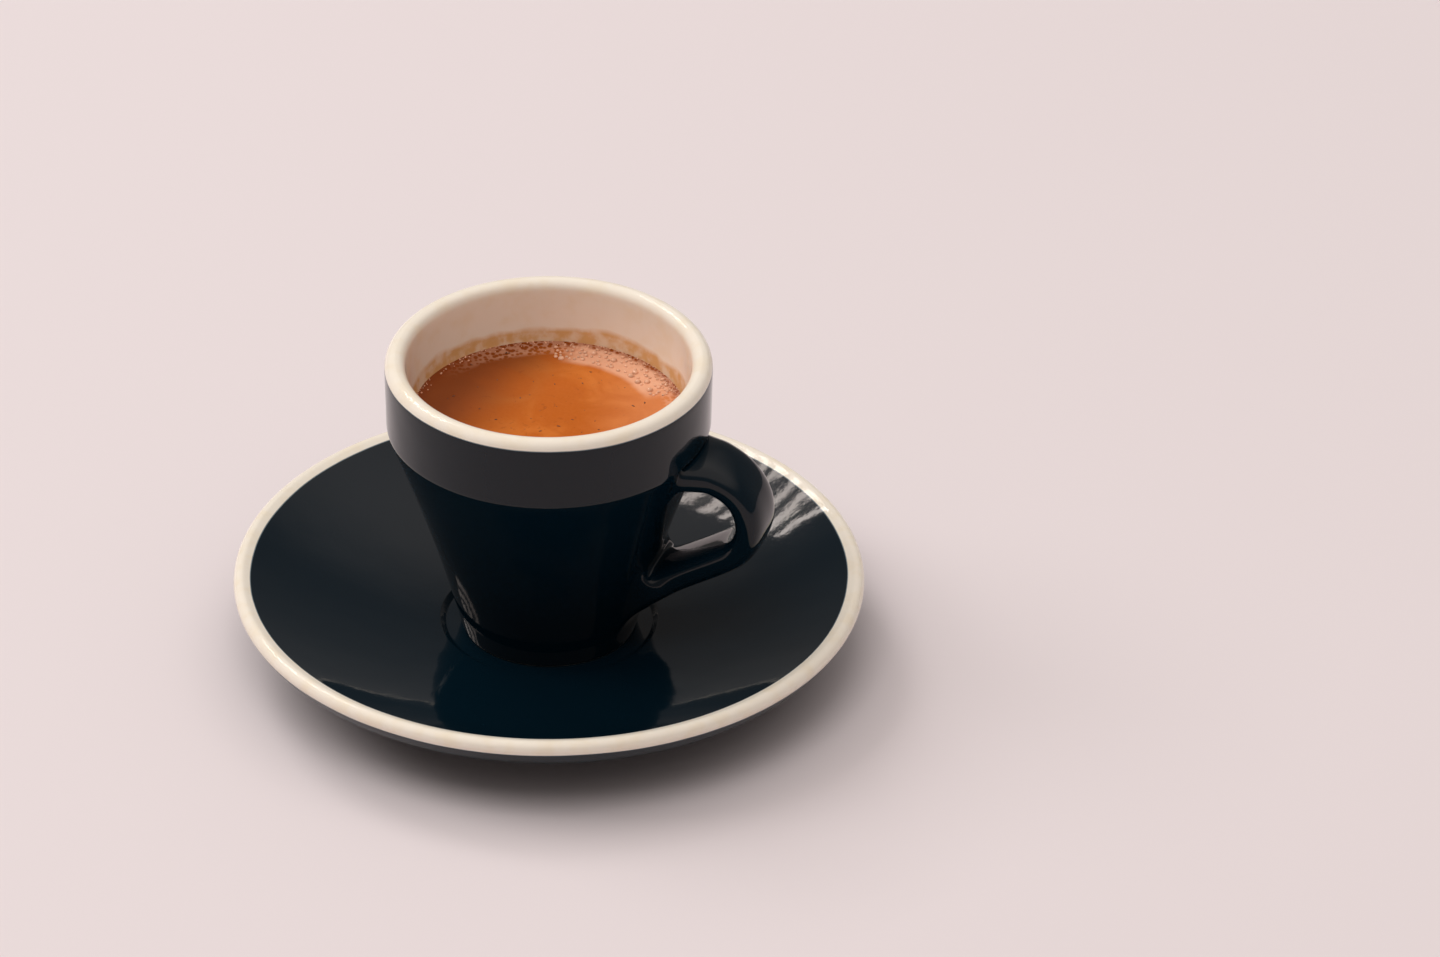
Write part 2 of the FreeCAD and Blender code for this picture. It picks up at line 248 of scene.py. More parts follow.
class StudioValues(bpy.types.PropertyGroup):
    """The floor, the lights and the camera."""

    floor: FloatVectorProperty(name="Floor", description="Paper under the saucer",
                               subtype="COLOR", default=(0.825, 0.738, 0.748), min=0, max=1)
    surround: FloatVectorProperty(name="Surround", description="Light from all round, low down",
                                  subtype="COLOR", default=(0.175, 0.162, 0.154), min=0, max=1)
    overhead: FloatVectorProperty(name="Overhead", description="Light from above",
                                  subtype="COLOR", default=(0.84, 0.80, 0.77), min=0, max=1)
    key_power: FloatProperty(name="Key", description="Softbox behind on the left",
                             default=12.6, unit="POWER")
    key_size: FloatProperty(name="Key size", description="Side of the softbox",
                            default=0.85, unit="LENGTH")
    key_distance: FloatProperty(name="Key distance", description="From the object to the softbox",
                                default=2.6, unit="LENGTH")
    key_azimuth: FloatProperty(name="Key azimuth", description="Anticlockwise from the handle",
                               default=math.radians(148), subtype="ANGLE")
    key_elevation: FloatProperty(name="Key elevation", description="Above the floor",
                                 default=math.radians(48), subtype="ANGLE")
    key_strips: IntProperty(name="Key strips", description="Strips that make the softbox", default=6)
    window_power: FloatProperty(name="Window", description="Broad light from the side",
                                default=17.5, unit="POWER")
    window_size: FloatProperty(name="Window size", description="Side of the broad lights",
                               default=1.3, unit="LENGTH")
    window_azimuth: FloatProperty(name="Window direction", description="Around the object",
                                  default=math.radians(190), subtype="ANGLE")
    window_elevation: FloatProperty(name="Window elevation", description="Above the floor",
                                    default=math.radians(43), subtype="ANGLE")
    fill_power: FloatProperty(name="Fill", description="Soft light from above the camera",
                              default=12.6, unit="POWER")
    fill_azimuth: FloatProperty(name="Fill direction", description="Around the object",
                                default=math.radians(275), subtype="ANGLE")
    fill_elevation: FloatProperty(name="Fill elevation", description="Above the floor",
                                  default=math.radians(67), subtype="ANGLE")
    lens: FloatProperty(name="Lens", description="Focal length in millimetres", default=250)
    camera_azimuth: FloatProperty(name="Camera azimuth", description="Anticlockwise from the front",
                                  default=math.radians(20), subtype="ANGLE")
    camera_reach: FloatProperty(name="Camera reach", description="Level distance from the cup's axis",
                                default=1.54248, unit="LENGTH")
    camera_height: FloatProperty(name="Camera height", description="Above the floor",
                                 default=1.01320, unit="LENGTH")
    camera_tilt: FloatProperty(name="Camera tilt", description="Down from level",
                               default=0.56417, subtype="ANGLE")
    camera_pan: FloatProperty(name="Camera pan", description="To the right of the cup's axis",
                              default=0.02024, subtype="ANGLE")
    camera_roll: FloatProperty(name="Camera roll", description="Anticlockwise, seen from behind",
                               default=0.00847, subtype="ANGLE")


# ---------------------------------------------------------------- outlines

def curve_between(start, end, radius, bulge, steps):
    """Points of the arc that leaves start and stops short of end; bulge 1 swells to the right."""
    start, end = Vector(start), Vector(end)
    chord = end - start
    right = Vector((chord.y, -chord.x)).normalized()
    depth = math.sqrt(radius ** 2 - chord.length_squared / 4)
    centre = (start + end) / 2 - right * depth * bulge
    sweep = 2 * math.asin(chord.length / 2 / radius) * bulge
    spoke = start - centre
    return [tuple(centre + Matrix.Rotation(sweep * step / steps, 2) @ spoke) for step in range(steps)]


def rounded(corners, steps=4):
    """Rounds each corner, given as (radius, height) or (radius, height, rounding)."""
    points = []
    for number, corner in enumerate(corners):
        here = Vector(corner[:2])
        if len(corner) < 3:
            points.append(tuple(here))
            continue
        back = (Vector(corners[number - 1][:2]) - here).normalized()
        ahead = (Vector(corners[number + 1][:2]) - here).normalized()
        half = back.angle(ahead) / 2
        centre = here + (back + ahead).normalized() * corner[2] / math.sin(half)
        first = here + back * corner[2] / math.tan(half) - centre
        last = here + ahead * corner[2] / math.tan(half) - centre
        for step in range(steps + 1):
            spoke = first.slerp(last, step / steps).normalized() * corner[2]
            points.append(tuple(centre + spoke))
    return points


def saucer_section(size):
    """From the middle of the underside, round the edge, to the middle of the well."""
    edge_radius = size.radius - size.edge_round
    turn_in = (edge_radius + size.edge_round * math.cos(size.undercut),
               size.edge_height - size.edge_round * math.sin(size.undercut))
    dish_top = (edge_radius - size.edge_round * math.sin(size.edge_slope),
                size.edge_height + size.edge_round * math.cos(size.edge_slope))
    knee = (size.radius - size.knee_inset, size.knee_height)
    well_top = (size.well_radius + size.well_lean, size.well_height + size.well_step)
    ring_inside = size.ring_radius - size.ring_width
    soft, softer, softest = 0.6 * MM, 0.8 * MM, 1.2 * MM
    ring_top = (size.ring_radius + 1.3 * MM, 4.6 * MM)
    under_start = (size.ring_radius + 9 * MM, 6.7 * MM)
    under = rounded([
        (0, size.ring_hollow),
        (size.ring_radius / 2, size.ring_hollow),
        (ring_inside - size.ring_hollow, size.ring_hollow, softer),
        (ring_inside, 0, soft),
        (size.ring_radius, 0, soft),
        (*ring_top, softest),
        under_start,
    ])
    edge = []
    edge_steps = 7
    for step in range(edge_steps):
        angle = (size.undercut + TURN / 4 + size.edge_slope) * step / edge_steps - size.undercut
        edge.append((edge_radius + size.edge_round * math.cos(angle),
                     size.edge_height + size.edge_round * math.sin(angle)))
    well = rounded([
        dish_top,
        (*well_top, 0.5 * MM),
        (size.well_radius, size.well_height, 0.5 * MM),
        (size.well_radius * 0.6, size.well_height),
        (0, size.well_height),
    ], steps=2)
    return (under + curve_between(knee, turn_in, size.under_curve, 1, 6) + edge
            + curve_between(dish_top, well_top, size.dish_curve, -1, 12) + well[1:])


def side_radius(size, height):
    """Outside radius of the cup at a height from the foot to the band's lower edge."""
    band_low = CUP_HIGH.z - size.band_drop
    low, high = Vector((size.foot_radius, CUP_LOW.z)), Vector((size.band_low_radius, band_low))
    share = (height - low.y) / (high.y - low.y)
    chord = (high - low).length
    hollow = chord ** 2 / (2 * size.side_curve) * share * (1 - share)
    return low.x + (high.x - low.x) * share - hollow / ((high.y - low.y) / chord)


def root_heights(size):
    """Heights of the faces that each arm of the handle opens in the cup's side."""
    band_low = CUP_HIGH.z - size.band_drop
    half = size.handle_thickness / 2 + size.root_spread
    crease = 0.35 * MM
    upper = [size.handle_top + half * share for share in (-1, -0.45, 0.1)]
    upper += [band_low - crease, band_low + crease]
    # The lower arm meets the leaning side at a slant, so its root is taller than the strap.
    slant = 0.73
    spread = size.handle_thickness * slant + size.root_spread
    lower = [size.lower_root - spread, size.lower_root, size.lower_root + spread]
    return upper, lower


def bowl_corners(size, floor, out=0.0):
    """The inside of the bowl from its floor to the rim, moved out by a clearance."""
    slope = (size.radius - size.wall - size.bowl_radius) / size.band_drop
    return [
        (0, floor - out),
        (size.bowl_low_radius + out, floor - out, size.bowl_round),
        (size.bowl_radius + out, CUP_HIGH.z - size.band_drop),
    ], slope


def cup_section(size, floor):
    """From the middle of the underside, up the outside, over the lip and down to the bowl's floor."""
    base, rim = CUP_LOW.z, CUP_HIGH.z
    upper, lower = root_heights(size)
    foot_inside = size.foot_radius - size.foot_width
    foot_round = 0.5 * MM
    foot_top = lower[0] - 3 * MM
    foot = rounded([
        (0, base + size.foot_hollow),
        (foot_inside / 2, base + size.foot_hollow),
        (foot_inside - size.foot_hollow, base + size.foot_hollow, foot_round),
        (foot_inside, base, foot_round),
        (size.foot_radius, base, foot_round * 1.2),
        (side_radius(size, foot_top), foot_top),
    ], steps=3)
    spans = 4
    between = [lower[-1] + (upper[0] - lower[-1]) * step / spans for step in range(1, spans)]
    side = [(side_radius(size, height), height) for height in lower + between + upper[:-1]]
    lean = (size.radius - size.band_low_radius) / size.band_drop
    heights = [upper[-1] + row for row in (0, *HOLDING_ROWS)] + [rim - row for row in BAND_ROWS]
    band = [(size.band_low_radius + (height - rim + size.band_drop) * lean, height)
            for height in heights]
    lip = rounded([
        band[-1],
        (size.radius, rim, size.lip_round),
        (size.radius - size.wall, rim, size.lip_round),
        (size.radius - size.wall - 0.3 * MM, rim - 4 * MM),
    ])
    floor_corner, bowl_top = bowl_corners(size, floor)[0][1:]
    bowl = [
        bowl_top,
        (bowl_top[0] - 2.4 * MM, bowl_top[1] - 9 * MM),
        floor_corner,
        (5 * MM, floor),
        (0, floor),
    ]
    return foot + side + band[:-1] + lip + rounded(bowl)


def drink_height(size, radius, wall_radius):
    """Height of the drink's surface, which climbs where it meets the wall."""
    edge = max(0.0, radius - (wall_radius - size.meniscus_width)) / size.meniscus_width
    steepness = 2.2
    return size.level + size.meniscus_rise * (edge ** steepness - 0.5)


def drink_section(size, cup):
    """From the middle of the bowl's floor, up inside the wall and over the surface to its middle."""
    inside, slope = bowl_corners(cup, size.floor, size.into_wall)
    band_low = CUP_HIGH.z - cup.band_drop
    wall_radius = inside[2][0] + (size.level + size.meniscus_rise - band_low) * slope
    body = rounded(inside)
    rings = 14
    ringed_width = size.meniscus_width + 3 * MM
    surface = []
    for ring in range(rings + 1):
        radius = wall_radius - ringed_width * ring / rings
        surface.append((radius, drink_height(size, radius, wall_radius)))
    inner = surface[-1][0]
    surface += [(inner * share, surface[-1][1]) for share in (0.75, 0.5, 0.25, 0)]
    return body + surface


# ---------------------------------------------------------------- meshes

def turned(section, steps):
    """Spins a section about Z into a closed shell."""
    bm = bmesh.new()
    points = [bm.verts.new((radius, 0, height)) for radius, height in section]
    edges = [bm.edges.new(pair) for pair in zip(points, points[1:])]
    bmesh.ops.spin(bm, geom=points + edges, cent=(0, 0, 0), axis=(0, 0, 1), angle=TURN,
                   steps=steps, use_merge=True)
    bmesh.ops.remove_doubles(bm, verts=bm.verts, dist=SAME_PLACE)
    return bm


def finish_mesh(bm, name, material, levels=0):
    """Closes a mesh into a smooth object whose place is in its mesh."""
    bmesh.ops.remove_doubles(bm, verts=bm.verts, dist=SAME_PLACE)
    bmesh.ops.recalc_face_normals(bm, faces=bm.faces)
    mesh = bpy.data.meshes.new(name)
    bm.to_mesh(mesh)
    bm.free()
    mesh.shade_smooth()
    mesh.materials.append(material)
    piece = bpy.data.objects.new(name, mesh)
    bpy.context.scene.collection.objects.link(piece)
    if levels:
        smooth = piece.modifiers.new("Smooth", "SUBSURF")
        smooth.levels = smooth.render_levels = levels
    return piece


def open_root(bm, size, heights, faces_across):
    """Opens the cup's side where an arm of the handle starts, and returns the opening's edges."""
    half_angle = TURN / CUP_STEPS * faces_across / 2
    opened = []
    for face in bm.faces:
        middle = face.calc_center_median()
        radius = math.hypot(middle.x, middle.y)
        outside = radius > side_radius(size, min(middle.z, CUP_HIGH.z - size.band_drop)) - MM
        across = abs(math.atan2(middle.y, middle.x)) < half_angle
        if across and outside and heights[0] < middle.z < heights[-1]:
            opened.append(face)
    if not opened:
        raise RuntimeError("the handle's root found no faces on the cup's side")
    bmesh.ops.delete(bm, geom=opened, context="FACES")
    return [edge for edge in bm.edges
            if edge.is_boundary and heights[0] - MM < edge.verts[0].co.z < heights[-1] + MM]


def handle_stations(size):
    """Places along the handle's centre line as (across, up, direction of travel, flare)."""
    crown_across = CUP_HIGH.x - size.handle_inset - size.handle_thickness / 2 - size.handle_crown
    crown_up = size.handle_top - size.handle_crown
    bow_across = crown_across + size.handle_crown - size.handle_bow
    root_across = side_radius(size, size.lower_root)
    fall = Vector((bow_across - root_across, crown_up - size.lower_root))
    slope = math.atan2(fall.y, fall.x) - math.asin(size.handle_bow / fall.length)
    # The upper arm runs level out of the cup, widest at its root.
    stations = [(crown_across + shift, size.handle_top, 0.0, flare)
                for shift, flare in ((-3.4 * MM, 1.38), (-0.9 * MM, 1.25), (1.4 * MM, 1.17))]
    for degrees, flare in ((75, 1.12), (60, 1.07), (45, 1.03), (30, 1.0), (15, 1.0), (0, 1.0)):
        angle = math.radians(degrees)
        stations.append((crown_across + size.handle_crown * math.cos(angle),
                         crown_up + size.handle_crown * math.sin(angle), angle - TURN / 4, flare))
    arc_end = slope - TURN / 4
    for share in (0.25, 0.5, 0.75, 1):
        angle = arc_end * share
        stations.append((bow_across + size.handle_bow * math.cos(angle),
                         crown_up + size.handle_bow * math.sin(angle), angle - TURN / 4, 1.0))
    across, up, direction, _ = stations[-1]
    length = (Vector((across, up)) - Vector((root_across, size.lower_root))).length
    for left, flare in ((9 * MM, 1.0), (6 * MM, 1.06), (3.8 * MM, 1.25)):
        along = length - left
        stations.append((across + along * math.cos(direction), up + along * math.sin(direction),
                         direction, flare))
    return stations


def add_handle(bm, size):
    """Bridges a flattened strap from the upper root to the lower one."""
    upper, lower = root_heights(size)
    loops = [open_root(bm, size, upper, UPPER_ROOT_FACES)]
    lower_loop = open_root(bm, size, lower, LOWER_ROOT_FACES)
    for across, up, direction, flare in handle_stations(size):
        half_thickness = size.handle_thickness / 2 * (1 + (flare - 1) * FLARE_IN_THICKNESS)
        sideways = Vector((0, 1, 0)) * size.handle_width / 2 * flare
        outwards = Vector((-math.sin(direction), 0, math.cos(direction))) * half_thickness
        along = Vector((math.cos(direction), 0, math.sin(direction)))
        place = Matrix((sideways, outwards, along)).transposed().to_4x4()
        place.translation = (across, 0, up)
        ring = bmesh.ops.create_circle(bm, segments=HANDLE_STEPS, radius=1)["verts"]
        for point in ring:
            length = sum(abs(part) ** size.handle_squareness for part in point.co)
            point.co = place @ (point.co / length ** (1 / size.handle_squareness))
        loops.append(list({edge for point in ring for edge in point.link_edges}))
    loops.append(lower_loop)
    for first, second in zip(loops, loops[1:]):
        bmesh.ops.bridge_loops(bm, edges=first + second)


def scatter(bm, places, flatness, segments):
    """Adds a flattened ball at each (position, half length, half width, direction)."""
    for position, half_length, half_width, direction in places:
        size = Matrix.Diagonal((half_length, half_width, half_width * flatness, 1))
        matrix = Matrix.Translation(position) @ Matrix.Rotation(direction, 4, "Z") @ size
        bmesh.ops.create_uvsphere(bm, u_segments=segments, v_segments=segments // 2 + 1, radius=1,
                                  matrix=matrix)


def on_drink(drink, azimuth, reach, wall_radius):
    """A point of the drink's surface."""
    height = drink_height(drink, reach, wall_radius)
    return Vector((reach * math.cos(azimuth), reach * math.sin(azimuth), height))


# ---------------------------------------------------------------- materials

def add_node(tree, kind, inputs=None, **settings):
    """Adds a node, with its settings and the values or links of its inputs."""
    node = tree.nodes.new(kind)
    for name, value in settings.items():
        setattr(node, name, value)
    for name, value in (inputs or {}).items():
        if isinstance(value, bpy.types.NodeSocket):
            tree.links.new(value, node.inputs[name])
        else:
            node.inputs[name].default_value = value
    return node


def calculate(tree, operation, first, second=0.0, third=0.0, clamp=False):
    """One step of arithmetic on values or links."""
    inputs = {0: first, 1: second, 2: third}
    return add_node(tree, "ShaderNodeMath", inputs, operation=operation, use_clamp=clamp).outputs[0]


def blend(tree, share, first, second):
    """The first colour where share is 0, and the second where it is 1."""
    node = add_node(tree, "ShaderNodeMix", {0: share, 6: first, 7: second}, data_type="RGBA")
    return node.outputs[2]


def step_up(tree, value, low, high):
    """0 below low, 1 above high, and smooth between."""
    inputs = {0: value, 1: low, 2: high, 3: 0.0, 4: 1.0}
    node = add_node(tree, "ShaderNodeMapRange", inputs, interpolation_type="SMOOTHSTEP")
    return node.outputs[0]


def opaque(colour):
    """A colour with full alpha, as a socket takes it."""
    return (*colour, 1.0)


def new_group(name, inputs, outputs):
    """An empty shader node group with named float or vector inputs."""
    tree = bpy.data.node_groups.new(name, "ShaderNodeTree")
    for label, default in inputs:
        kind = "NodeSocketVector" if default is None else "NodeSocketFloat"
        socket = tree.interface.new_socket(label, in_out="INPUT", socket_type=kind)
        if default is not None:
            socket.default_value = default
    for label in outputs:
        tree.interface.new_socket(label, in_out="OUTPUT", socket_type="NodeSocketFloat")
    return tree, tree.nodes.new("NodeGroupInput"), tree.nodes.new("NodeGroupOutput")


def dip_line_group():
    """A mask that rises from 0 to 1 across a hand-dipped line, which wanders a little."""
    name = "Dip line"
    if name in bpy.data.node_groups:
        return bpy.data.node_groups[name]
    inputs = (
        ("Place", None), ("Measure", 0.0), ("Line", 0.0),
        ("Waver", 0.0), ("Softness", 0.0), ("Scale", 60.0),
    )
    tree, given, result = new_group(name, inputs, ["Mask"])
    noise = add_node(tree, "ShaderNodeTexNoise", {
        "Vector": given.outputs["Place"], "Scale": given.outputs["Scale"],
        "Detail": 3.0, "Roughness": 0.45,
    })
    wander = calculate(tree, "SUBTRACT", noise.outputs[0], 0.5)
    wander = calculate(tree, "MULTIPLY", wander, given.outputs["Waver"])
    above = calculate(tree, "SUBTRACT", given.outputs["Measure"], given.outputs["Line"])
    above = calculate(tree, "ADD", above, wander)
    share = calculate(tree, "DIVIDE", above, given.outputs["Softness"])
    share = calculate(tree, "ADD", share, 0.5, clamp=True)
    tree.links.new(share, result.inputs["Mask"])
    return tree


def glaze_surface_group():
    """The slow ripple of fired glaze, its fine pits, and faint smears of handling."""
    name = "Glaze surface"
    if name in bpy.data.node_groups:
        return bpy.data.node_groups[name]
    inputs = (("Place", None), ("Ripple", 0.0), ("Roughness", 0.0), ("Smear", 0.0))
    tree, given, result = new_group(name, inputs, ["Height", "Roughness"])
    place = given.outputs["Place"]
    slow = add_node(tree, "ShaderNodeTexNoise", {"Vector": place, "Scale": 90.0, "Detail": 1.0})
    fine = add_node(tree, "ShaderNodeTexNoise", {"Vector": place, "Scale": 900.0, "Detail": 2.0})
    smears = add_node(tree, "ShaderNodeTexNoise", {
        "Vector": place, "Scale": 45.0, "Detail": 5.0, "Roughness": 0.65, "Distortion": 1.2,
    })
    fine_height = calculate(tree, "MULTIPLY", fine.outputs[0], 0.05)
    height = calculate(tree, "ADD", slow.outputs[0], fine_height)
    height = calculate(tree, "MULTIPLY", height, given.outputs["Ripple"])
    smear = step_up(tree, smears.outputs[0], 0.52, 0.75)
    rough = calculate(tree, "MULTIPLY_ADD", smear, given.outputs["Smear"], given.outputs["Roughness"])
    tree.links.new(height, result.inputs["Height"])
    tree.links.new(rough, result.inputs["Roughness"])
    return tree


def new_material(name):
    """A material with a Principled shader, its tree and its Object coordinates."""
    material = bpy.data.materials.new(name)
    material.use_nodes = True
    tree = material.node_tree
    place = add_node(tree, "ShaderNodeTexCoord").outputs["Object"]
    return material, tree, tree.nodes["Principled BSDF"], place


def split(tree, place):
    """The height of a place and its distance from the Z axis."""
    parts = add_node(tree, "ShaderNodeSeparateXYZ", {0: place})
    level = add_node(tree, "ShaderNodeVectorMath", {0: place, 1: (1, 1, 0)}, operation="MULTIPLY")
    reach = add_node(tree, "ShaderNodeVectorMath", {0: level.outputs[0]}, operation="LENGTH")
    return parts.outputs["Z"], reach.outputs["Value"]


def dip_line(tree, place, measure, line, glaze, waver=1.0, softness=1.0, scale=60.0):
    """The mask above a dip line; waver and softness multiply the glaze's own."""
    node = add_node(tree, "ShaderNodeGroup", node_tree=dip_line_group())
    tree.links.new(place, node.inputs["Place"])
    tree.links.new(measure, node.inputs["Measure"])
    node.inputs["Line"].default_value = line
    node.inputs["Waver"].default_value = glaze.waver * waver
    node.inputs["Softness"].default_value = glaze.softness * softness
    node.inputs["Scale"].default_value = scale
    return node.outputs["Mask"]


def glaze_colour(tree, place, cream_mask, glaze):
    """Dark glaze, a thin blue-grey blend and mottled cream."""
    mottle = add_node(tree, "ShaderNodeTexNoise", {"Vector": place, "Scale": 260.0, "Detail": 4.0})
    tint = tuple(share * factor for share, factor in zip(glaze.cream, CREAM_MOTTLE))
    cream = blend(tree, step_up(tree, mottle.outputs[0], 0.42, 0.72), opaque(glaze.cream), opaque(tint))
    thin = step_up(tree, cream_mask, 0.0, 0.55)
    dark = blend(tree, thin, opaque(glaze.navy), opaque(glaze.blend))
    return blend(tree, step_up(tree, cream_mask, 0.35, 1.0), dark, cream)


def finish_glaze(tree, shader, place, colour, bare):
    """Gloss, ripple and the dry bare clay under the foot."""
    surface = add_node(tree, "ShaderNodeGroup", node_tree=glaze_surface_group())
    tree.links.new(place, surface.inputs["Place"])
    surface.inputs["Ripple"].default_value = 0.00022
    surface.inputs["Roughness"].default_value = 0.055
    surface.inputs["Smear"].default_value = 0.05
    rough = blend(tree, bare, surface.outputs["Roughness"], (0.85, 0.85, 0.85, 1))
    bump = add_node(tree, "ShaderNodeBump", {
        "Height": surface.outputs["Height"], "Distance": 1.0, "Strength": 0.6,
    })
    tree.links.new(colour, shader.inputs["Base Color"])
    tree.links.new(rough, shader.inputs["Roughness"])
    tree.links.new(bump.outputs[0], shader.inputs["Normal"])
    shader.inputs["IOR"].default_value = GLAZE_IOR
    shader.inputs["Specular Tint"].default_value = GLAZE_REFLECTION


def cup_glaze(glaze, drink):
    """Cream inside and over the lip, dark below the dip line, bare clay under the foot."""
    material, tree, shader, place = new_material("cup_glaze")
    height, reach = split(tree, place)
    outside = dip_line(tree, place, height, glaze.cup_line, glaze)
    # A cone that runs inside the wall's thickness parts the bowl from the outside.
    cone_lean, cone_foot = 0.31, 10.4 * MM
    cone = calculate(tree, "MULTIPLY_ADD", height, cone_lean, cone_foot)
    inner = calculate(tree, "LESS_THAN", reach, cone)
    above_floor = calculate(tree, "GREATER_THAN", height, 11.5 * MM)
    cream_mask = calculate(tree, "MAXIMUM", outside, calculate(tree, "MULTIPLY", inner, above_floor))
    colour = glaze_colour(tree, place, cream_mask, glaze)

    film_top = drink.level + glaze.film_height
    film_line = dip_line(tree, place, height, film_top, glaze, waver=11.0, softness=3.0, scale=85.0)
    film = calculate(tree, "MULTIPLY", calculate(tree, "SUBTRACT", 1.0, film_line), inner)
    streaks = add_node(tree, "ShaderNodeTexNoise", {"Vector": place, "Scale": 420.0, "Detail": 5.0})
    stain = step_up(tree, streaks.outputs[0], 0.30, 0.62)
    film = calculate(tree, "MULTIPLY", film, calculate(tree, "MULTIPLY_ADD", stain, 0.50, 0.48))
    colour = blend(tree, film, colour, opaque(glaze.film))

    foot = calculate(tree, "LESS_THAN", height, CUP_LOW.z + 0.25 * MM)
    colour = blend(tree, foot, colour, opaque(glaze.clay))
    finish_glaze(tree, shader, place, colour, foot)
    return material


def saucer_glaze(glaze):
    """A cream band over the edge, dark glaze inside and below, bare clay under the foot ring."""
    material, tree, shader, place = new_material("saucer_glaze")
    height, reach = split(tree, place)
    above = dip_line(tree, place, height, glaze.edge_line, glaze)
    outside = dip_line(tree, place, reach, glaze.band_radius, glaze, waver=1.6, scale=35.0)
    cream_mask = calculate(tree, "MULTIPLY", above, outside)
    colour = glaze_colour(tree, place, cream_mask, glaze)
    foot = calculate(tree, "LESS_THAN", height, 0.35 * MM)
    colour = blend(tree, foot, colour, opaque(glaze.clay))
    finish_glaze(tree, shader, place, colour, foot)
    return material


def crema_material(colours, wall_radius):
    """Crema with slow clouds, fine froth, painted shade on one side and a painted reflection on the
    other, a dark edge, and a paler crescent of foam and lace.
    """
    material, tree, shader, place = new_material("crema")
    _, reach = split(tree, place)
    clouds = add_node(tree, "ShaderNodeTexNoise", {
        "Vector": place, "Scale": 95.0, "Detail": 4.0, "Roughness": 0.55, "Distortion": 0.8,
    })
    froth = add_node(tree, "ShaderNodeTexNoise", {"Vector": place, "Scale": 1500.0, "Detail": 3.0})
    streaks = add_node(tree, "ShaderNodeTexNoise", {
        "Vector": place, "Scale": 330.0, "Detail": 3.0, "Roughness": 0.6, "Distortion": 2.5,
    })
    cloudy = step_up(tree, clouds.outputs[0], 0.42, 0.72)
    colour = blend(tree, cloudy, opaque(colours.main), opaque(colours.light))
    dark_streak = calculate(tree, "MULTIPLY", step_up(tree, streaks.outputs[0], 0.60, 0.74), 0.45)
    colour = blend(tree, dark_streak, colour, opaque(colours.dark))
    fine = calculate(tree, "MULTIPLY", step_up(tree, froth.outputs[0], 0.35, 0.70), 0.16)
    colour = blend(tree, fine, colour, opaque(colours.light))

    # Painted shade from the wall on one side, and a painted reflection of the lit wall on the other.
    # Each fades in between two distances from the middle, up to its most.
    for side, azimuth, near, far, most in (
        (colours.painted_shade, colours.painted_shade_azimuth, 5 * MM, 23 * MM, 0.9),
        (colours.painted_reflection, colours.painted_reflection_azimuth, 8 * MM, 26 * MM, 0.7),
    ):
        direction = (math.cos(azimuth), math.sin(azimuth), 0)
        along = add_node(tree, "ShaderNodeVectorMath", {0: place, 1: direction},
                         operation="DOT_PRODUCT")
        wander = calculate(tree, "MULTIPLY_ADD", clouds.outputs[0], 8 * MM, along.outputs["Value"])
        share = step_up(tree, wander, near, far)
        colour = blend(tree, calculate(tree, "MULTIPLY", share, most), colour, opaque(side))

    ragged = calculate(tree, "MULTIPLY_ADD", clouds.outputs[0], 1.6 * MM, reach)
    rim = step_up(tree, ragged, wall_radius - 1.9 * MM, wall_radius + 0.1 * MM)
    colour = blend(tree, calculate(tree, "MULTIPLY", rim, 0.85), colour, opaque(colours.dark))

    level = add_node(tree, "ShaderNodeVectorMath", {0: place, 1: (1, 1, 0)}, operation="MULTIPLY")
    towards = add_node(tree, "ShaderNodeVectorMath", {0: level.outputs[0]}, operation="NORMALIZE")
    middle = (math.cos(colours.foam_azimuth), math.sin(colours.foam_azimuth), 0)
    facing = add_node(tree, "ShaderNodeVectorMath", {0: towards.outputs[0], 1: middle},
                      operation="DOT_PRODUCT")
    reach_cosine = math.cos(colours.foam_reach)
    arc = step_up(tree, facing.outputs["Value"], reach_cosine, reach_cosine + 0.12)
    inner_edge = step_up(tree, ragged, wall_radius - 6.4 * MM, wall_radius - 4.8 * MM)
    at_wall = step_up(tree, ragged, wall_radius - 0.9 * MM, wall_radius)
    outer_edge = calculate(tree, "SUBTRACT", 1.0, at_wall)
    foam = calculate(tree, "MULTIPLY", arc, calculate(tree, "MULTIPLY", inner_edge, outer_edge))
    foam = calculate(tree, "MULTIPLY", foam, 0.72)
    colour = blend(tree, foam, colour, opaque(colours.foam))

    cells = add_node(tree, "ShaderNodeTexVoronoi", {"Vector": place, "Scale": 1150.0})
    walls = step_up(tree, cells.outputs["Distance"], 0.34, 0.62)
    lace_inside = step_up(tree, ragged, wall_radius - 3.6 * MM, wall_radius - 2.2 * MM)
    lace_arc = step_up(tree, facing.outputs["Value"], -0.15, 0.60)
    lace = calculate(tree, "MULTIPLY", walls, calculate(tree, "MULTIPLY", lace_inside, lace_arc))
    colour = blend(tree, calculate(tree, "MULTIPLY", lace, 0.38), colour, opaque(colours.foam))

    rough = calculate(tree, "MULTIPLY_ADD", streaks.outputs[0], 0.10, 0.20)
    swell = calculate(tree, "MULTIPLY", clouds.outputs[0], 0.16 * MM)
    height = calculate(tree, "MULTIPLY_ADD", froth.outputs[0], 0.02 * MM, swell)
    bump = add_node(tree, "ShaderNodeBump", {"Height": height, "Distance": 1.0, "Strength": 0.7})
    tree.links.new(colour, shader.inputs["Base Color"])
    tree.links.new(rough, shader.inputs["Roughness"])
    tree.links.new(bump.outputs[0], shader.inputs["Normal"])
    shader.inputs["IOR"].default_value = CREMA_IOR
    shader.inputs["Specular IOR Level"].default_value = 0.4
    return material


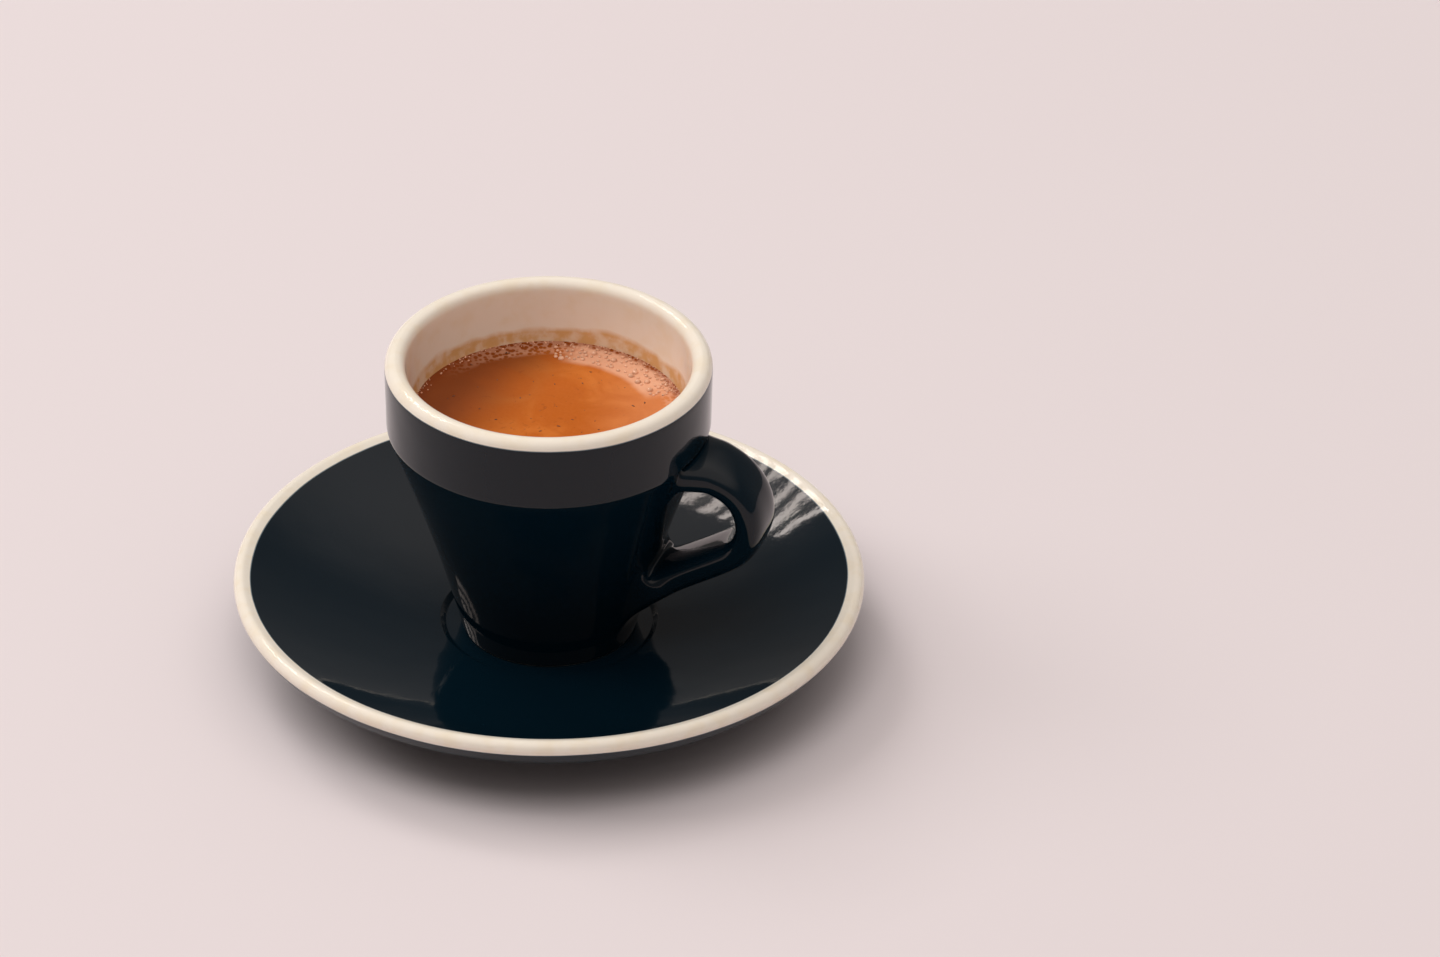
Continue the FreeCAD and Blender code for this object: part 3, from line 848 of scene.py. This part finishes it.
def flecked_material(name, colour, darker, roughness, scale):
    """A small thing's colour with a little variation from one to the next."""
    material, tree, shader, place = new_material(name)
    noise = add_node(tree, "ShaderNodeTexNoise", {"Vector": place, "Scale": scale, "Detail": 2.0})
    deep = tuple(share * darker for share in colour)
    mixed = blend(tree, step_up(tree, noise.outputs[0], 0.35, 0.65), opaque(colour), opaque(deep))
    tree.links.new(mixed, shader.inputs["Base Color"])
    shader.inputs["Roughness"].default_value = roughness
    return material


def paper_material(colour):
    """Plain matt paper with a very faint tooth."""
    material, tree, shader, place = new_material("studio_paper")
    tooth = add_node(tree, "ShaderNodeTexNoise", {"Vector": place, "Scale": 4.0, "Detail": 3.0})
    shade = tuple(share * 0.985 for share in colour)
    mixed = blend(tree, tooth.outputs[0], opaque(colour), opaque(shade))
    tree.links.new(mixed, shader.inputs["Base Color"])
    shader.inputs["Roughness"].default_value = 0.9
    shader.inputs["Specular IOR Level"].default_value = 0.15
    return material


# ---------------------------------------------------------------- lights

def add_light(name, power, size, azimuth, elevation, distance, shift=0.0, mirrored=True):
    """Hangs an area light that faces the object; shift moves it across its own plane."""
    light = bpy.data.lights.new(name, "AREA")
    light.shape = "RECTANGLE"
    light.size, light.size_y = size
    light.energy = power
    light.color = LAMP_COLOUR
    level = math.cos(elevation)
    direction = Vector((level * math.cos(azimuth), level * math.sin(azimuth), math.sin(elevation)))
    turn = direction.to_track_quat("Z", "Y")
    lamp = bpy.data.objects.new(name, light)
    lamp.location = direction * distance + turn @ Vector((0, shift, 0))
    lamp.rotation_euler = turn.to_euler()
    lamp.visible_glossy = mirrored
    bpy.context.scene.collection.objects.link(lamp)


# ---------------------------------------------------------------- operators

class ESPRESSO_OT_saucer(bpy.types.Operator):
    """Turn the saucer from its section and glaze it"""

    bl_idname = "espresso.saucer"
    bl_label = "Saucer"

    def execute(self, context):
        scene = context.scene
        size = scene.espresso_saucer
        bm = turned(saucer_section(size), size.steps)
        piece = finish_mesh(bm, "saucer_body", saucer_glaze(scene.espresso_glaze), levels=2)
        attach(piece, BODY)
        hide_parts("saucer")
        return {"FINISHED"}


class ESPRESSO_OT_cup(bpy.types.Operator):
    """Turn the cup from its section, bridge its handle and glaze both"""

    bl_idname = "espresso.cup"
    bl_label = "Cup and handle"

    def execute(self, context):
        scene = context.scene
        size, drink = scene.espresso_cup, scene.espresso_drink
        bm = turned(cup_section(size, drink.floor), CUP_STEPS)
        add_handle(bm, size)
        if any(edge.is_boundary for edge in bm.edges):
            raise RuntimeError("the cup and its handle do not close")
        piece = finish_mesh(bm, "cup_body", cup_glaze(scene.espresso_glaze, drink), levels=2)
        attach(piece, BODY)
        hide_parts("cup")
        return {"FINISHED"}


class ESPRESSO_OT_drink(bpy.types.Operator):
    """Fill the cup with espresso that reaches just into its wall"""

    bl_idname = "espresso.drink"
    bl_label = "Espresso"

    def execute(self, context):
        scene = context.scene
        bm = turned(drink_section(scene.espresso_drink, scene.espresso_cup), DRINK_STEPS)
        piece = finish_mesh(bm, "espresso_body", crema_material(scene.espresso_crema, DRINK_HIGH.x))
        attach(piece, BODY)
        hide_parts("espresso")
        return {"FINISHED"}


class ESPRESSO_OT_bubbles(bpy.types.Operator):
    """Scatter bubbles in the crescent of foam and fine froth along the wall"""

    bl_idname = "espresso.bubbles"
    bl_label = "Bubbles"

    def execute(self, context):
        drink, colours = context.scene.espresso_drink, context.scene.espresso_crema
        draw = random.Random(drink.seed)
        wall = DRINK_HIGH.x
        places = []
        tries = 0
        while len(places) < drink.bubbles and tries < MOST_TRIES:
            tries += 1
            azimuth = colours.foam_azimuth + colours.foam_reach * draw.uniform(-0.95, 1.05)
            reach = wall - draw.uniform(1.3, 5.4) * MM
            radius = min(0.62, 0.26 + draw.expovariate(9)) * MM
            spot = on_drink(drink, azimuth, reach, wall)
            if all((spot - other[0]).length > radius + other[1] for other in places):
                places.append((spot, radius, radius, 0.0))
        for _ in range(drink.froth):
            azimuth = colours.foam_azimuth + draw.uniform(-0.9, 2.2)
            reach = wall - draw.triangular(0.05, 1.6, 0.2) * MM
            radius = draw.uniform(0.09, 0.2) * MM
            spot = on_drink(drink, azimuth, reach, wall)
            places.append((spot, radius, radius, 0.0))
        bm = bmesh.new()
        scatter(bm, places, 0.75, 14)
        material = flecked_material("bubble_film", (0.86, 0.47, 0.30), 0.75, 0.07, 900.0)
        piece = finish_mesh(bm, "crema_bubbles", material)
        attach(piece, BODY)
        return {"FINISHED"}


class ESPRESSO_OT_specks(bpy.types.Operator):
    """Scatter dark grains over the crema"""

    bl_idname = "espresso.specks"
    bl_label = "Specks"

    def execute(self, context):
        drink, colours = context.scene.espresso_drink, context.scene.espresso_crema
        draw = random.Random(drink.seed + 1)
        wall = DRINK_HIGH.x
        places = []
        for _ in range(drink.specks):
            azimuth = draw.uniform(0, TURN)
            reach = (wall - 2 * MM) * math.sqrt(draw.random())
            half_width = draw.uniform(0.05, 0.16) * MM
            half_length = half_width * draw.uniform(1.0, 3.2)
            spot = on_drink(drink, azimuth, reach, wall)
            places.append((spot, half_length, half_width, draw.uniform(0, TURN)))
        bm = bmesh.new()
        scatter(bm, places, 0.5, 8)
        material = flecked_material("coffee_grains", tuple(colours.grain), 0.5, 0.5, 2000.0)
        piece = finish_mesh(bm, "crema_specks", material)
        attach(piece, BODY)
        return {"FINISHED"}


class ESPRESSO_OT_studio(bpy.types.Operator):
    """Lay the floor, hang the lights and set up the camera"""

    bl_idname = "espresso.studio"
    bl_label = "Studio"

    def execute(self, context):
        scene = context.scene
        studio = scene.espresso_studio
        bm = bmesh.new()
        bmesh.ops.create_circle(bm, cap_ends=True, segments=96, radius=4.0)
        floor = finish_mesh(bm, "floor", paper_material(studio.floor))

        world = bpy.data.worlds.new("surround")
        world.use_nodes = True
        tree = world.node_tree
        direction = add_node(tree, "ShaderNodeTexCoord").outputs["Generated"]
        upward = add_node(tree, "ShaderNodeSeparateXYZ", {0: direction}).outputs["Z"]
        above = step_up(tree, upward, 0.50, 0.86)
        sky = blend(tree, above, opaque(studio.surround), opaque(studio.overhead))
        tree.links.new(sky, tree.nodes["Background"].inputs["Color"])
        scene.world = world

        strip = studio.key_size / studio.key_strips
        for number in range(studio.key_strips):
            shift = (number + 0.5) * strip - studio.key_size / 2
            add_light(f"key_{number}", studio.key_power / studio.key_strips,
                      (studio.key_size, strip / 2), studio.key_azimuth, studio.key_elevation,
                      studio.key_distance, shift)
        add_light("window", studio.window_power, (studio.window_size, studio.window_size),
                  studio.window_azimuth, studio.window_elevation, studio.key_distance, mirrored=False)
        add_light("fill", studio.fill_power, (studio.window_size, studio.window_size),
                  studio.fill_azimuth, studio.fill_elevation, studio.key_distance, mirrored=False)

        lens = bpy.data.cameras.new("camera")
        lens.sensor_width = 36
        lens.lens = studio.lens
        lens.clip_start, lens.clip_end = 0.05, 20
        camera = bpy.data.objects.new("camera", lens)
        azimuth = studio.camera_azimuth
        camera.location = (studio.camera_reach * math.sin(azimuth),
                           -studio.camera_reach * math.cos(azimuth), studio.camera_height)
        turn = Matrix.Rotation(azimuth - studio.camera_pan, 4, "Z")
        tilt = Matrix.Rotation(TURN / 4 - studio.camera_tilt, 4, "X")
        roll = Matrix.Rotation(studio.camera_roll, 4, "Z")
        camera.rotation_euler = (turn @ tilt @ roll).to_euler()
        scene.collection.objects.link(camera)
        scene.camera = camera
        scene.view_settings.view_transform = "Standard"
        return {"FINISHED"}


class ESPRESSO_PT_panel(bpy.types.Panel):
    """Buttons for every piece, in the sidebar"""

    bl_idname = "ESPRESSO_PT_panel"
    bl_label = "Espresso"
    bl_space_type = "VIEW_3D"
    bl_region_type = "UI"
    bl_category = "Espresso"

    def draw(self, context):
        for operator in OPERATORS:
            self.layout.operator(operator.bl_idname)
        for name in PROPERTY_GROUPS:
            self.layout.label(text=name.replace("_", " "))
            group = getattr(context.scene, name)
            for value in group.bl_rna.properties:
                if value.identifier not in {"rna_type", "name"}:
                    self.layout.prop(group, value.identifier)


OPERATORS = (
    ESPRESSO_OT_saucer,
    ESPRESSO_OT_cup,
    ESPRESSO_OT_drink,
    ESPRESSO_OT_bubbles,
    ESPRESSO_OT_specks,
    ESPRESSO_OT_studio,
)
PROPERTY_GROUPS = {
    "espresso_saucer": SaucerSizes,
    "espresso_cup": CupSizes,
    "espresso_drink": DrinkSizes,
    "espresso_glaze": GlazeColours,
    "espresso_crema": CremaColours,
    "espresso_studio": StudioValues,
}
CLASSES = (*PROPERTY_GROUPS.values(), *OPERATORS, ESPRESSO_PT_panel)


def register():
    """Registers the classes and hangs their values on the scene."""
    for item in CLASSES:
        bpy.utils.register_class(item)
    for name, group in PROPERTY_GROUPS.items():
        setattr(bpy.types.Scene, name, PointerProperty(type=group))


def unregister():
    """Takes back what register did."""
    for name in PROPERTY_GROUPS:
        delattr(bpy.types.Scene, name)
    for item in reversed(CLASSES):
        bpy.utils.unregister_class(item)


def main():
    """Makes every piece and the stage."""
    register()
    bpy.ops.espresso.saucer()
    bpy.ops.espresso.cup()
    bpy.ops.espresso.drink()
    bpy.ops.espresso.bubbles()
    bpy.ops.espresso.specks()
    bpy.ops.espresso.studio()
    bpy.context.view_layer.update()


if __name__ == "__main__":
    main()
